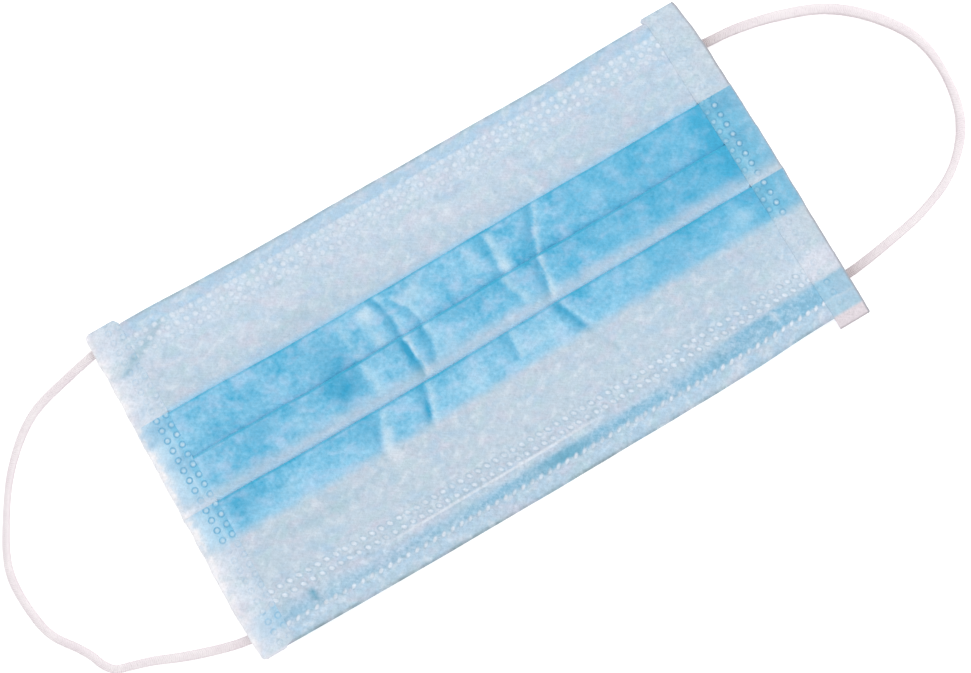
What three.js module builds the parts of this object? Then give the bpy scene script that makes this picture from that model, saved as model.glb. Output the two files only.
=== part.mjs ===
import * as THREE from 'three';

// A pleated surgical face mask lying flat with its blue face up.
// Millimetres. X runs along the long edges, +Y points from the nose edge to the chin edge, +Z is up.
// One sheet is folded into hems and pleats, strips are folded round its two side edges, a flat wire
// lies in the nose hem, and an elastic loop comes out from under each side strip.

// Mask
const MASK_LENGTH = 175;
const BODY_HEIGHT = 90.35;
const CLEARANCE = 0.3;

// Sheet: one ply's thickness, the air between two plies, and how far it runs for each unit it falls
const CLOTH_WALL = 1.05;
const PLY_GAP = 0.25;
const FALL_RUN = 3;

// Hems, measured from the hem's fold to the raw edge behind it
const CHIN_HEM = 11.6;
const NOSE_HEM = 9.8;

// Nose wire
const WIRE_LENGTH = 132;
const WIRE_WIDTH = 3.2;
const WIRE_THICKNESS = 0.8;
const WIRE_FROM_FOLD = 5.2;
const WIRE_OFF_CENTRE = -1.5;

// Side bindings
const BINDING_WIDTH = 10;
const BINDING_OVERHANG = 3.25;
const BINDING_WALL = 1;
const BINDING_CORNER = 0.55;
const BINDING_RISE = 3.5;

// Ear loops
const LOOP_DIAMETER = 2.7;
const LOOP_SIDES = 8;
const LOOP_STEP = 2.5;

// How far the mask's outline departs from straight: the hems bow towards the nose in mid length,
// the pleats bow less, and the pleats stand a little higher on the right
const HEM_BOW = 0.8;
const PLEAT_BOW = 0.3;
const PLEAT_TILT = 0.3;

// The sides are raised off the ground by their binding and by the loop ends under it. The climb
// starts at this share of half the length.
const LIFT_START = 0.46;

// Pleats from chin to nose. Mountain is the fold that shows, valley the hidden one under the band.
// Both are shares of the body's height, from its middle.
const PLEATS = [
  { mountain: 0.2105, valley: 0.075 },
  { mountain: 0.0717, valley: -0.0307 },
  { mountain: -0.0678, valley: -0.1757 },
];

// Creases across the pleats. Their place along X and how far they lean from it at the chin end, the
// middle and the nose end are shares of half the length. Rise and width are in plies.
const CREASES = [
  { x: -0.217, chinLean: 0, midLean: 0.012, noseLean: -0.034, rise: 0.7, width: 2 },
  { x: 0.252, chinLean: 0.05, midLean: -0.017, noseLean: 0.003, rise: 0.8, width: 2.2 },
];

// Ends of the creases as shares of the height from its middle, the share of their length over which
// they fade out, and how far to either side the sheet leans with them, as a share of half the length
const CREASE_SPAN = { chin: 0.23, nose: -0.2, fade: 0.12, lean: 0.17 };

// Side strips: their width as a share of the binding's, and how far they stand past the sheet's chin
// and nose edges as shares of the overhang
const SIDES = [
  { name: 'left', sign: -1, width: 0.92, chinOverhang: 0.43, noseOverhang: 0.3 },
  { name: 'right', sign: 1, width: 1.06, chinOverhang: 0.385, noseOverhang: 1 },
];

// Loop routes from the chin end to the nose end: how far out from the side edge, and Y.
// Both ends lie under the binding.
const LOOP_ROUTES = {
  left: [
    [-8, 43.2],
    [0, 42.6],
    [8.1, 40.95],
    [20.6, 36.95],
    [30.6, 28.45],
    [38, 17.55],
    [43, 5.35],
    [42.8, -7.75],
    [37.2, -19.55],
    [33.5, -25.7],
    [28.8, -29.05],
    [16.6, -34.15],
    [4.1, -38.15],
    [-0.5, -38.9],
    [-8, -38.9],
  ],
  right: [
    [-8, 33.7],
    [0, 33.7],
    [8.8, 33.15],
    [21.1, 30.35],
    [32.7, 25.55],
    [42.1, 17.15],
    [48.4, 6.35],
    [49, -6.25],
    [45.3, -18.05],
    [36.6, -27.05],
    [25.1, -32.15],
    [12.7, -34.65],
    [0, -36.3],
    [-8, -36.3],
  ],
};

const COLOURS = {
  sheet: { color: 0x9fcdea, roughness: 0.85, metalness: 0 },
  binding: { color: 0xdfe6f2, roughness: 0.9, metalness: 0 },
  wire: { color: 0xe9eef2, roughness: 0.5, metalness: 0 },
  loop: { color: 0xefe6ea, roughness: 0.95, metalness: 0 },
};

// Sizes that follow from the ones above
const HALF_LENGTH = MASK_LENGTH / 2;
const PLY_PITCH = CLOTH_WALL + PLY_GAP;
const FOLD_INSET = (CLOTH_WALL + PLY_PITCH) / 2;
const FOLD_STEPS = 3;
const chinReach = BINDING_OVERHANG * Math.max(...SIDES.map((side) => side.chinOverhang));
const noseReach = BINDING_OVERHANG * Math.max(...SIDES.map((side) => side.noseOverhang));
const BODY_MIDDLE = (noseReach - chinReach) / 2;
const CHIN_EDGE = BODY_MIDDLE + BODY_HEIGHT / 2;
const NOSE_EDGE = BODY_MIDDLE - BODY_HEIGHT / 2;
const BODY_END = HALF_LENGTH - BINDING_WALL - CLEARANCE;
const WIRE_Y = NOSE_EDGE + WIRE_FROM_FOLD + WIRE_WIDTH / 2;
const WIRE_Z = CLOTH_WALL + CLEARANCE;
const POCKET_PLIES = (WIRE_Z + WIRE_THICKNESS + CLEARANCE) / PLY_PITCH;
const SIDE_LIFT = BINDING_WALL + CLEARANCE + LOOP_DIAMETER + CLEARANCE;

// An eased climb from 0 at start to 1 at end, made of three straight stretches
const EASE = [0, 0.26, 0.74, 1];

function eased(y, start, end) {
  const t = THREE.MathUtils.clamp((y - start) / (end - start), 0, 1) * (EASE.length - 1);
  const step = Math.min(Math.floor(t), EASE.length - 2);
  return THREE.MathUtils.lerp(EASE[step], EASE[step + 1], t - step);
}

// The stretches of Y where the sheet climbs or falls, each as its lower and upper end
const alongY = (share) => BODY_MIDDLE + share * BODY_HEIGHT;
const fallLength = (plies) => plies * PLY_PITCH * FALL_RUN;
const chinHemEdge = CHIN_EDGE - CHIN_HEM;
const noseHemEdge = NOSE_EDGE + NOSE_HEM;
const chinFall = [chinHemEdge - CLEARANCE - fallLength(1), chinHemEdge - CLEARANCE];
const pleatFalls = PLEATS.map(({ valley }) => [alongY(valley) - fallLength(2), alongY(valley)]);
const pocketTop = Math.max(WIRE_Y + WIRE_WIDTH / 2, noseHemEdge) + CLEARANCE;
const pocketRise = [pocketTop, pocketTop + fallLength(POCKET_PLIES)];
const pocketFall = [NOSE_EDGE + FOLD_INSET, WIRE_Y - WIRE_WIDTH / 2 - CLEARANCE];

// Plies under the sheet's face at Y, once it has passed the first `folded` pleats
function pliesUnder(y, folded) {
  let plies = eased(y, ...chinFall);
  for (const fall of pleatFalls.slice(0, folded)) plies += 2 * eased(y, ...fall);
  const pocket = POCKET_PLIES * (1 - eased(y, ...pocketRise));
  const afterWire = (POCKET_PLIES - 1) * (1 - eased(y, ...pocketFall));
  return plies + pocket - afterWire;
}

// Where the straight stretches of those climbs meet
const KNOTS = [chinFall, ...pleatFalls, pocketRise, pocketFall].flatMap(([start, end]) =>
  EASE.map((_, step) => THREE.MathUtils.lerp(start, end, step / (EASE.length - 1))),
);

// Where a crease starts to fade, and where it ends
const creaseY = (along) => alongY(THREE.MathUtils.lerp(CREASE_SPAN.chin, CREASE_SPAN.nose, along));
const CREASE_KNOTS = [0, CREASE_SPAN.fade, 1 - CREASE_SPAN.fade, 1].map(creaseY);

function bends(height, y) {
  const reach = 0.01;
  return Math.abs(height(y - reach) + height(y + reach) - 2 * height(y)) > reach * reach;
}

// Centre line of the sheet in the Y-Z plane, from the chin hem's raw edge to the nose hem's raw edge
function sheetPath() {
  const path = [];
  const heightOf = (plies) => plies * PLY_PITCH + CLOTH_WALL / 2;

  function run(from, to, plies) {
    const direction = Math.sign(to - from);
    const inside = [...KNOTS, ...CREASE_KNOTS].filter(
      (y) => (y - from) * direction > 0.05 && (to - y) * direction > 0.05,
    );
    const corners = inside.filter((y) => CREASE_KNOTS.includes(y) || bends(plies, y));
    corners.sort((a, b) => (a - b) * direction);
    for (const y of [from, ...corners, to]) path.push(new THREE.Vector2(y, heightOf(plies(y))));
  }

  // A half-round fold whose outermost point is at edge, bulging along direction
  function turn(edge, direction, plies, climb) {
    const centre = edge - direction * FOLD_INSET;
    for (let step = 1; step < FOLD_STEPS; step += 1) {
      const angle = (Math.PI * step) / FOLD_STEPS;
      const y = centre + (direction * PLY_PITCH * Math.sin(angle)) / 2;
      path.push(new THREE.Vector2(y, heightOf(plies(centre) + (climb * (1 - Math.cos(angle))) / 2)));
    }
  }

  let y = CHIN_EDGE - FOLD_INSET;
  run(chinHemEdge, y, () => 0);
  turn(CHIN_EDGE, 1, () => 0, 1);
  PLEATS.forEach((pleat, folded) => {
    const valleyY = alongY(pleat.valley) + FOLD_INSET;
    const mountainY = alongY(pleat.mountain) - FOLD_INSET;
    const front = (at) => pliesUnder(at, folded);
    const back = (at) => pliesUnder(at, folded) + 1;
    run(y, valleyY, front);
    turn(alongY(pleat.valley), -1, front, 1);
    run(valleyY, mountainY, back);
    turn(alongY(pleat.mountain), 1, back, 1);
    y = mountainY;
  });
  const last = (at) => pliesUnder(at, PLEATS.length);
  run(y, NOSE_EDGE + FOLD_INSET, last);
  turn(NOSE_EDGE, -1, last, -1);
  run(NOSE_EDGE + FOLD_INSET, noseHemEdge, () => 0);
  return path;
}

// Closed outline of a strip of the given wall that follows the path, mitred at its corners
function thicken(path, wall) {
  const normalOf = (a, b) => new THREE.Vector2(a.y - b.y, b.x - a.x).normalize();
  const sides = path.map((point, index) => {
    const before = normalOf(path[Math.max(index - 1, 0)], path[Math.max(index, 1)]);
    const after = normalOf(
      path[Math.min(index, path.length - 2)],
      path[Math.min(index + 1, path.length - 1)],
    );
    const mitre = before.clone().add(after);
    mitre.multiplyScalar(wall / mitre.lengthSq());
    return [point.clone().add(mitre), point.clone().sub(mitre)];
  });
  const outline = [...sides.map((pair) => pair[0]), ...sides.map((pair) => pair[1]).reverse()];
  return THREE.ShapeUtils.isClockWise(outline) ? outline.reverse() : outline;
}

// Skin over a row of matching rings, closed at both ends. Seen from the last ring's side the rings
// run anticlockwise in the plane that flat gives.
function loft(rings, flat) {
  const count = rings[0].length;
  const index = [];
  for (let ring = 0; ring < rings.length - 1; ring += 1) {
    for (let step = 0; step < count; step += 1) {
      const a = ring * count + step;
      const b = ring * count + ((step + 1) % count);
      index.push(a, b, b + count, a, b + count, a + count);
    }
  }
  const last = (rings.length - 1) * count;
  for (const [a, b, c] of THREE.ShapeUtils.triangulateShape(rings[0].map(flat), [])) {
    index.push(c, b, a);
  }
  for (const [a, b, c] of THREE.ShapeUtils.triangulateShape(rings[rings.length - 1].map(flat), [])) {
    index.push(last + a, last + b, last + c);
  }
  const geometry = new THREE.BufferGeometry().setFromPoints(rings.flat());
  geometry.setIndex(index);
  geometry.computeVertexNormals();
  return geometry;
}

// How far a point of the flat pattern moves along Y because of the bow and the tilt
function bowAt(x, y) {
  const across = x / HALF_LENGTH;
  const up = (y - BODY_MIDDLE) / (BODY_HEIGHT / 2);
  const bow = THREE.MathUtils.lerp(PLEAT_BOW, HEM_BOW, Math.min(up * up, 1)) * (1 - across * across);
  return PLEAT_TILT * across * (1 - Math.min(up * up, 1)) - bow;
}

// Height of the ground side of the sheet: flat in the middle, raised at the sides
function liftAt(x) {
  const side = SIDES.find(({ sign }) => sign * x >= 0);
  const start = LIFT_START * HALF_LENGTH;
  const full = HALF_LENGTH - side.width * BINDING_WIDTH - CLEARANCE;
  return SIDE_LIFT * THREE.MathUtils.smoothstep(Math.abs(x), start, full);
}

// How far along the creases a point lies, from 0 at their chin ends to 1 at their nose ends
const creaseShare = (y) => THREE.MathUtils.clamp((y - creaseY(0)) / (creaseY(1) - creaseY(0)), 0, 1);

// Gentle ridges across the pleats, the same for every ply
function creaseAt(x, y) {
  const along = creaseShare(y);
  const fade = Math.min(along / CREASE_SPAN.fade, (1 - along) / CREASE_SPAN.fade, 1);
  let height = 0;
  for (const crease of CREASES) {
    const away = Math.abs(x - crease.x * HALF_LENGTH) / (crease.width * PLY_PITCH);
    height += crease.rise * PLY_PITCH * fade * Math.cos((Math.PI * Math.min(away, 1)) / 2) ** 2;
  }
  return height;
}

// How far the sheet leans along X with its creases
function leanAt(x, y) {
  const along = creaseShare(y);
  const middle = Math.sin(Math.PI * along) ** 2;
  const { smoothstep } = THREE.MathUtils;
  let lean = 0;
  for (const { x: share, chinLean, midLean, noseLean } of CREASES) {
    const ends = THREE.MathUtils.lerp(chinLean, noseLean, smoothstep(along, 0, 1));
    const near = 1 - smoothstep(Math.abs(x / HALF_LENGTH - share), 0, CREASE_SPAN.lean);
    lean += (ends * (1 - middle) + midLean * middle) * near * HALF_LENGTH;
  }
  return lean;
}

// Sections along X: even ones, and closer ones across each crease
function bodySections() {
  const coarse = 8.2;
  const acrossCrease = 4;
  const stops = CREASES.flatMap(({ x, width }) => [
    x * HALF_LENGTH - width * PLY_PITCH,
    x * HALF_LENGTH + width * PLY_PITCH,
  ]);
  stops.push(BODY_END);
  const sections = [-BODY_END];
  stops.forEach((stop, index) => {
    const start = sections[sections.length - 1];
    const steps = index % 2 ? acrossCrease : Math.ceil((stop - start) / coarse);
    for (let step = 1; step <= steps; step += 1) sections.push(start + ((stop - start) * step) / steps);
  });
  return sections;
}

function pleatedBody() {
  const outline = thicken(sheetPath(), CLOTH_WALL);
  const rings = bodySections().map((x) =>
    outline.map((point) => {
      const y = point.x + bowAt(x, point.x);
      return new THREE.Vector3(x + leanAt(x, point.x), y, point.y + liftAt(x) + creaseAt(x, point.x));
    }),
  );
  return loft(rings, (point) => new THREE.Vector2(point.y, point.z));
}

function noseWire() {
  const half = WIRE_WIDTH / 2;
  const section = [
    [-half, 0],
    [half, 0],
    [half, WIRE_THICKNESS],
    [-half, WIRE_THICKNESS],
  ];
  const start = WIRE_OFF_CENTRE - WIRE_LENGTH / 2;
  const end = WIRE_OFF_CENTRE + WIRE_LENGTH / 2;
  const sections = [start, ...bodySections().filter((x) => x > start + 1 && x < end - 1), end];
  const rings = sections.map((x) =>
    section.map(([across, up]) => {
      const y = WIRE_Y + across + bowAt(x, WIRE_Y + across);
      return new THREE.Vector3(x, y, WIRE_Z + up + liftAt(x));
    }),
  );
  return loft(rings, (point) => new THREE.Vector2(point.y, point.z));
}

// Height of the sheet's upper face over its ground side, at a side edge. The binding cannot jump up a
// mountain fold, so it starts to climb a little before it.
function stackAt(y) {
  const inside = THREE.MathUtils.clamp(y, NOSE_EDGE + FOLD_INSET, CHIN_EDGE - FOLD_INSET);
  let plies = pliesUnder(inside, 0);
  PLEATS.forEach(({ mountain }, pleat) => {
    const full = alongY(mountain) + PLEAT_TILT + CLEARANCE;
    plies += 2 * (1 - eased(y, full, full + BINDING_RISE)) * eased(y, ...pleatFalls[pleat]);
  });
  return plies * PLY_PITCH + CLOTH_WALL;
}

// A strip folded round the side edge, swept from the chin end to the nose end
function binding(side) {
  const chinEnd = CHIN_EDGE + side.chinOverhang * BINDING_OVERHANG;
  const noseEnd = NOSE_EDGE - side.noseOverhang * BINDING_OVERHANG;
  const inner = HALF_LENGTH - side.width * BINDING_WIDTH;
  const wallX = HALF_LENGTH - BINDING_WALL;
  const corner = BINDING_CORNER;

  // Inner face of the upper leaf. Past the sheet's edges the leaves come together.
  const upperAt = (y) => {
    const past = Math.max(y - CHIN_EDGE, NOSE_EDGE - y, 0);
    const open = Math.max(stackAt(y) + CLEARANCE - past, 0);
    return SIDE_LIFT + open;
  };
  const reach = 0.1;
  const slopeAt = (y) => (upperAt(y + reach) - upperAt(y - reach)) / (2 * reach);

  const stops = [chinEnd, CHIN_EDGE, NOSE_EDGE, noseEnd, ...KNOTS];
  for (const { mountain } of PLEATS) {
    const full = alongY(mountain) + PLEAT_TILT + CLEARANCE;
    EASE.forEach((_, step) => stops.push(full + (BINDING_RISE * step) / (EASE.length - 1)));
  }
  const closest = 0.6;
  const kept = [chinEnd];
  for (const y of stops.sort((a, b) => b - a)) {
    if (kept[kept.length - 1] - y > closest && y - noseEnd > closest) kept.push(y);
  }
  kept.push(noseEnd);

  const rings = kept.map((y) => {
    const back = SIDE_LIFT - CLEARANCE;
    const face = upperAt(y);
    const faceWall = BINDING_WALL * Math.hypot(1, slopeAt(y));
    const section = [
      [inner, back - BINDING_WALL],
      [HALF_LENGTH - corner, back - BINDING_WALL],
      [HALF_LENGTH, back - BINDING_WALL + corner],
      [HALF_LENGTH, face + faceWall - corner],
      [HALF_LENGTH - corner, face + faceWall],
      [inner, face + faceWall],
      [inner, face],
      [wallX, face],
      [wallX, back],
      [inner, back],
    ];
    const ring = section.map(([x, z]) => new THREE.Vector3(side.sign * x, y, z));
    return side.sign > 0 ? ring : ring.reverse();
  });
  return loft(rings, (point) => new THREE.Vector2(point.x, point.z));
}

// An elastic loop lying on the ground, its two ends under the binding
function earLoop(side) {
  const radius = LOOP_DIAMETER / 2;
  const points = LOOP_ROUTES[side.name].map(
    ([out, y]) => new THREE.Vector3(side.sign * (HALF_LENGTH + out), y, radius),
  );
  const route = new THREE.CatmullRomCurve3(points, false, 'centripetal');
  const corners = [];
  for (let corner = 0; corner < LOOP_SIDES; corner += 1) {
    const angle = (2 * Math.PI * corner) / LOOP_SIDES;
    corners.push(new THREE.Vector2(radius * Math.cos(angle), radius * Math.sin(angle)));
  }
  const steps = Math.round(route.getLength() / (LOOP_STEP * LOOP_DIAMETER));
  return new THREE.ExtrudeGeometry(new THREE.Shape(corners), { steps, extrudePath: route });
}

const mask = new THREE.Group();

function add(name, geometry, colour) {
  const mesh = new THREE.Mesh(geometry, new THREE.MeshStandardMaterial(COLOURS[colour]));
  mesh.name = name;
  mask.add(mesh);
}

add('pleated_body', pleatedBody(), 'sheet');
add('nose_wire', noseWire(), 'wire');
for (const side of SIDES) {
  add(`binding_${side.name}`, binding(side), 'binding');
  add(`ear_loop_${side.name}`, earLoop(side), 'loop');
}

export default mask;
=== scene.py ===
import bpy
import numpy as np
from mathutils import Matrix, Vector


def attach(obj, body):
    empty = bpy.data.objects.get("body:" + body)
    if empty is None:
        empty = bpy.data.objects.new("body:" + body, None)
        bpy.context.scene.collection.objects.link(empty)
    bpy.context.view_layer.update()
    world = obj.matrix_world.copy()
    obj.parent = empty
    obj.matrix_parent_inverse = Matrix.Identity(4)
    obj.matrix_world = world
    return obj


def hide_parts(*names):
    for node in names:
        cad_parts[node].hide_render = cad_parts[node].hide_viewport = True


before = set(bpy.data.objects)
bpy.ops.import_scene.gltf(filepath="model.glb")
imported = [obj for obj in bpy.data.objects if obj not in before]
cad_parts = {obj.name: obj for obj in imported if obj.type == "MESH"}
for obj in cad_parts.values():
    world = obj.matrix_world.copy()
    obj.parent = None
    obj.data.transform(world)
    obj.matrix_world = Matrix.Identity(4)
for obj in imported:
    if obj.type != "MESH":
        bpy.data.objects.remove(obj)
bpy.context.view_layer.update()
print("frame loaded:", ", ".join(sorted(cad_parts)))

# All sizes below are millimetres of the frame: x along the mask, y from nose edge to chin edge, z up.
millimetre = 0.001

# camera
view = {
    "place": (-25.904, -57.059, 373.783),
    "right": (0.86165, -0.50734, -0.01307),
    "up": (0.50286, 0.85000, 0.15691),
    "lens": 55.61,
    "sensor": 36,
    "nearest": 0.01,
}


def makeCamera():
    right = Vector(view["right"]).normalized()
    back = right.cross(Vector(view["up"])).normalized()
    up = back.cross(right)
    lens = bpy.data.cameras.new("camera")
    lens.lens = view["lens"]
    lens.sensor_width = view["sensor"]
    lens.clip_start = view["nearest"]
    camera = bpy.data.objects.new("camera", lens)
    turn = Matrix((right, up, back)).transposed().to_4x4()
    camera.matrix_world = Matrix.Translation(Vector(view["place"]) * millimetre) @ turn
    bpy.context.scene.collection.objects.link(camera)
    bpy.context.scene.camera = camera


makeCamera()
print("camera placed")

# shape helpers

def smooth(value, start, end):
    # 3 t^2 - 2 t^3 of the share t of the way from start to end
    t = np.clip((value - start) / (end - start), 0, 1)
    return t * t * (3 - 2 * t)


def waves(x, y, size, seed, octaves=3):
    # sum of sine waves in seeded directions, each octave half as long and half as high; about -1 to 1
    rng = np.random.default_rng(seed)
    count = 5
    total = np.zeros(np.broadcast(x, y).shape)
    for octave in range(octaves):
        turn, phase = rng.uniform(0, 2 * np.pi, (2, count))
        number = 2 * np.pi / size * 2**octave
        for angle, start in zip(turn, phase):
            total += np.sin(number * (x * np.cos(angle) + y * np.sin(angle)) + start) / 2**octave
    return total / count


def softened(at, places, values, reach, count):
    # straight between the values at their places, averaged over count places within reach of at
    shifts = np.linspace(-reach, reach, count)
    return np.mean([np.interp(at + shift, places, values) for shift in shifts], axis=0)


def normals(points):
    # cross product of the two grid directions at each point, of length 1
    along = np.gradient(points, axis=0)
    across = np.gradient(points, axis=1)
    cross = np.cross(along, across)
    return cross / np.maximum(np.linalg.norm(cross, axis=2, keepdims=True), 1e-9)


def gridFaces(rows, columns, first=0, flip=False):
    # quads between neighbours of a rows by columns grid whose first vertex has number first
    corner = first + np.arange(rows - 1)[:, None] * columns + np.arange(columns - 1)
    quads = np.stack([corner, corner + columns, corner + columns + 1, corner + 1], -1).reshape(-1, 4)
    return quads[:, ::-1] if flip else quads


def tubeFaces(rows, count):
    # A tube of rows rings of count vertices, and quads that close its ends round two centre vertices, which
    # are numbered last
    number = np.arange(rows * count).reshape(rows, count)
    after = np.roll(number, -1, axis=1)
    walls = np.stack([number[:-1], after[:-1], after[1:], number[1:]], -1).reshape(-1, 4)
    here = np.arange(0, count, 2)
    third = (here + 2) % count
    centre = np.full(len(here), rows * count)
    capStart = np.stack([number[0, here], centre, number[0, third], number[0, here + 1]], -1)
    capEnd = np.stack([number[-1, here], number[-1, here + 1], number[-1, third], centre + 1], -1)
    return np.concatenate([walls, capStart, capEnd])


def shell(centre, wall):
    # a closed sheet: the centre grid moved half a wall to each side along its normals, joined round its rim
    rows, columns = centre.shape[:2]
    offset = normals(centre) * np.broadcast_to(wall, (rows, columns))[..., None] / 2
    points = np.concatenate([(centre + offset).reshape(-1, 3), (centre - offset).reshape(-1, 3)])
    number = np.arange(rows * columns).reshape(rows, columns)
    rim = np.concatenate([number[0, :-1], number[:-1, -1], number[-1, :0:-1], number[:0:-1, 0]])
    nextRim = np.roll(rim, -1)
    below = rows * columns
    rimFaces = np.stack([rim, nextRim, nextRim + below, rim + below], -1)
    top = gridFaces(rows, columns)
    under = gridFaces(rows, columns, below, flip=True)
    return points, np.concatenate([top, under, rimFaces]), (len(top), len(under), len(rimFaces))


def putMesh(name, points, faces, plan, materials, slots=None, **attributes):
    # points in millimetres; plan is each vertex's (U, V) in millimetres of the flat pattern
    mesh = bpy.data.meshes.new(name)
    mesh.vertices.add(len(points))
    mesh.vertices.foreach_set("co", (points * millimetre).astype(np.float32).ravel())
    mesh.loops.add(faces.size)
    mesh.loops.foreach_set("vertex_index", faces.astype(np.int32).ravel())
    mesh.polygons.add(len(faces))
    mesh.polygons.foreach_set("loop_start", np.arange(0, faces.size, 4, dtype=np.int32))
    mesh.update(calc_edges=True)
    layer = mesh.uv_layers.new(name="plan")
    layer.data.foreach_set("uv", plan[faces.ravel()].astype(np.float32).ravel())
    for material in materials:
        mesh.materials.append(material)
    if slots is not None:
        mesh.polygons.foreach_set("material_index", slots.astype(np.int32))
    for label, values in attributes.items():
        mesh.attributes.new(label, "FLOAT", "POINT").data.foreach_set("value", values.astype(np.float32))
    mesh.polygons.foreach_set("use_smooth", np.ones(len(faces), bool))
    mesh.validate()
    piece = bpy.data.objects.new(name, mesh)
    bpy.context.scene.collection.objects.link(piece)
    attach(piece, "root")
    return piece


# the folded sheet's pattern
mask = {
    "half": 87.5,
    "middle": 0.925,
    "reach": 45.175,
    "chinEdge": 46.1,
    "noseEdge": -44.25,
    "sideEdge": 86.2,
    "inStrip": 0.62,  # how far the sheet's side edge lies inside the strip's outer edge
    "chinHem": 11.6,
    "noseHem": 9.8,
    "mountains": (20.2, 7.40, -5.20),
    "valleys": (7.70, -1.85, -14.95),
    "wall": 0.32,
    "pitch": 0.6,  # from ply to ply in mid length
    "sidePitch": 0.37,  # from ply to ply where the side strips press them
    "hemPlies": 0.62,  # a welded hem, in pitches
    "foldBulge": 0.26,
    "foldPoints": 7,
    "fallRun": 4.0,  # how far a ply runs for each unit it falls
    "lift": 3.0,
    "liftStart": 40.25,
    "liftFull": 78.0,
    "pleatBow": 0.3,
    "pleatTilt": 0.3,
    "pleatSwell": 0.65,  # how much higher the pleats run right of the middle
    "swellPlace": 25,
    "swellWidth": 38,
    "noseBow": 0.8,
}

# steps along the sheet's run, shortest where it shows: in a crisp edge, on a face, in a pleat, in a hem
runSteps = {"edge": 0.85, "face": 1.6, "pleat": 1.9, "hem": 2.5}

wire = {
    "start": -67.5,
    "end": 64.5,
    "middle": -37.45,
    "width": 3.2,
    "thickness": 0.7,
    "slack": 0.05,
    "squareness": 0.45,
    "roundEnd": 0.6,
}

# outer edges of the two side strips, as (y, distance from the middle of the mask)
sideEdges = {
    -1: ((-45.2, 86.7), (-38, 87.45), (-30, 87.5), (0, 87.2), (30, 87.0), (47.5, 86.9)),
    1: ((-47.5, 85.8), (-20, 86.4), (0, 86.8), (34, 87.1), (47.3, 86.0)),
}


def edgeAt(side, y):
    # outer edge of a side strip at y, straight between its measured points and softened
    return softened(y, *np.array(sideEdges[side]).T, 4, 9)


def upShare(y):
    # square of the share of the way from the middle to a hem's edge
    return np.clip(((y - mask["middle"]) / mask["reach"]) ** 2, 0, 1)


def bowAt(x, y):
    # Shift in y from the pattern. Pleats bow towards the nose, tilt, and swell right of the middle.
    # The chin hem runs nearly straight, the nose hem bows outwards except at its right end.
    across = x / mask["half"]
    up = upShare(y)
    pleats = mask["pleatTilt"] * across - mask["pleatBow"] * (1 - across**2)
    swell = np.exp(-(((x - mask["swellPlace"]) / mask["swellWidth"]) ** 2))
    pleats = pleats + mask["pleatSwell"] * swell - 0.2
    chin = -0.2 - 0.2 * across**6
    nose = -mask["noseBow"] * (1 - across**2) - 0.5 + 0.6 * smooth(x, 50, 74)
    return (1 - up) * pleats + up * np.where(y > mask["middle"], chin, nose)


def liftAt(x):
    return mask["lift"] * smooth(np.abs(x), mask["liftStart"], mask["liftFull"])


def pitchAt(x):
    press = smooth(np.abs(x), 66, 78.5)
    return mask["pitch"] * (1 - press) + mask["sidePitch"] * press


def pliesUnder(y, folded):
    # plies under the sheet's face at y once it has passed the first `folded` pleats
    chinHemEnd = mask["chinEdge"] - mask["chinHem"]
    noseHemEnd = mask["noseEdge"] + mask["noseHem"]
    run = mask["pitch"] * mask["fallRun"]
    plies = mask["hemPlies"] * smooth(y, chinHemEnd - run, chinHemEnd)
    plies = plies + mask["hemPlies"] * (1 - smooth(y, noseHemEnd, noseHemEnd + run))
    for valley in mask["valleys"][:folded]:
        plies = plies + 2 * smooth(y, valley - 2 * run, valley)
    return plies


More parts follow.
